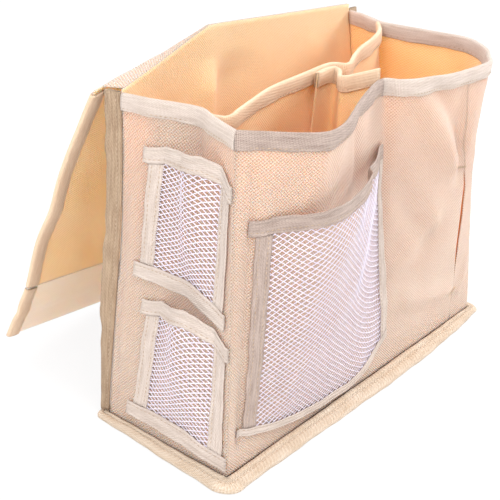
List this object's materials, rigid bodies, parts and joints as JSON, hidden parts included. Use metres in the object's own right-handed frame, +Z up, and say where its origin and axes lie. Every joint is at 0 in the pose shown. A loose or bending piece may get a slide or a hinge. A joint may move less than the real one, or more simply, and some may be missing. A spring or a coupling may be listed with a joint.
{
  "type": "bedside caddy",
  "caption": "Soft cloth bedside caddy: an open bag on a flat base with inner dividers, mesh pockets, a tissue slit and an anchor flap that tucks under a mattress.",
  "frame": {"origin": "middle of the underside of the base panel", "axes": "+X along the front from left to right, +Y towards the back where the anchor flap hangs, +Z up"},
  "size_m": [0.3534, 0.3026, 0.2653],
  "materials": {
    "outer_cloth": "plain woven polyester, matt",
    "lining_cloth": "plain woven polyester, matt",
    "bias_tape": "woven binding tape",
    "mesh": "knitted diamond mesh",
    "stiffener": "plain board"
  },
  "bodies": {
    "bag": {"base_panel": "outer_cloth", "base_board": "stiffener", "base_binding": "bias_tape", "left_gusset": "outer_cloth", "front_panel": "outer_cloth", "tissue_side_panel": "outer_cloth", "right_gusset": "outer_cloth", "back_panel": "lining_cloth", "rim_tape_left_gusset": "bias_tape", "rim_tape_front_left": "bias_tape", "rim_tape_front_right": "bias_tape", "rim_tape_right_gusset": "bias_tape", "back_left_corner_tape": "bias_tape", "back_right_corner_tape": "bias_tape", "long_divider": "outer_cloth", "long_divider_tape": "bias_tape", "cross_divider": "outer_cloth", "cross_divider_tape": "bias_tape", "front_pocket_net": "mesh", "front_pocket_mouth_tape": "bias_tape", "front_pocket_foot_tape": "bias_tape", "front_pocket_left_tape": "bias_tape", "front_pocket_right_tape": "bias_tape", "upper_side_pocket_net": "mesh", "upper_side_pocket_mouth_tape": "bias_tape", "upper_side_pocket_foot_tape": "bias_tape", "upper_side_pocket_left_tape": "bias_tape", "upper_side_pocket_right_tape": "bias_tape", "lower_side_pocket_net": "mesh", "lower_side_pocket_mouth_tape": "bias_tape", "lower_side_pocket_foot_tape": "bias_tape", "lower_side_pocket_left_tape": "bias_tape", "lower_side_pocket_right_tape": "bias_tape"},
    "anchor_flap": {"flap": "lining_cloth", "flap_left_tape": "bias_tape", "flap_right_tape": "bias_tape"},
    "anchor_band": {"end_band": "outer_cloth", "end_band_left_tape": "bias_tape", "end_band_right_tape": "bias_tape"}
  },
  "joints": [
    {"name": "flap_fold", "type": "hinge", "parent": "bag", "child": "anchor_flap", "pos_m": [0.15244, 0.08984, 0.2445], "axis": [0.9895, 0.1052, -0.0996], "range_deg": [0, 240]},
    {"name": "band_fold", "type": "hinge", "parent": "anchor_flap", "child": "anchor_band", "pos_m": [0.15244, 0.172, 0.026], "axis": [0.9884, 0.0791, -0.1297], "range_deg": [-80, 30]}
  ]
}
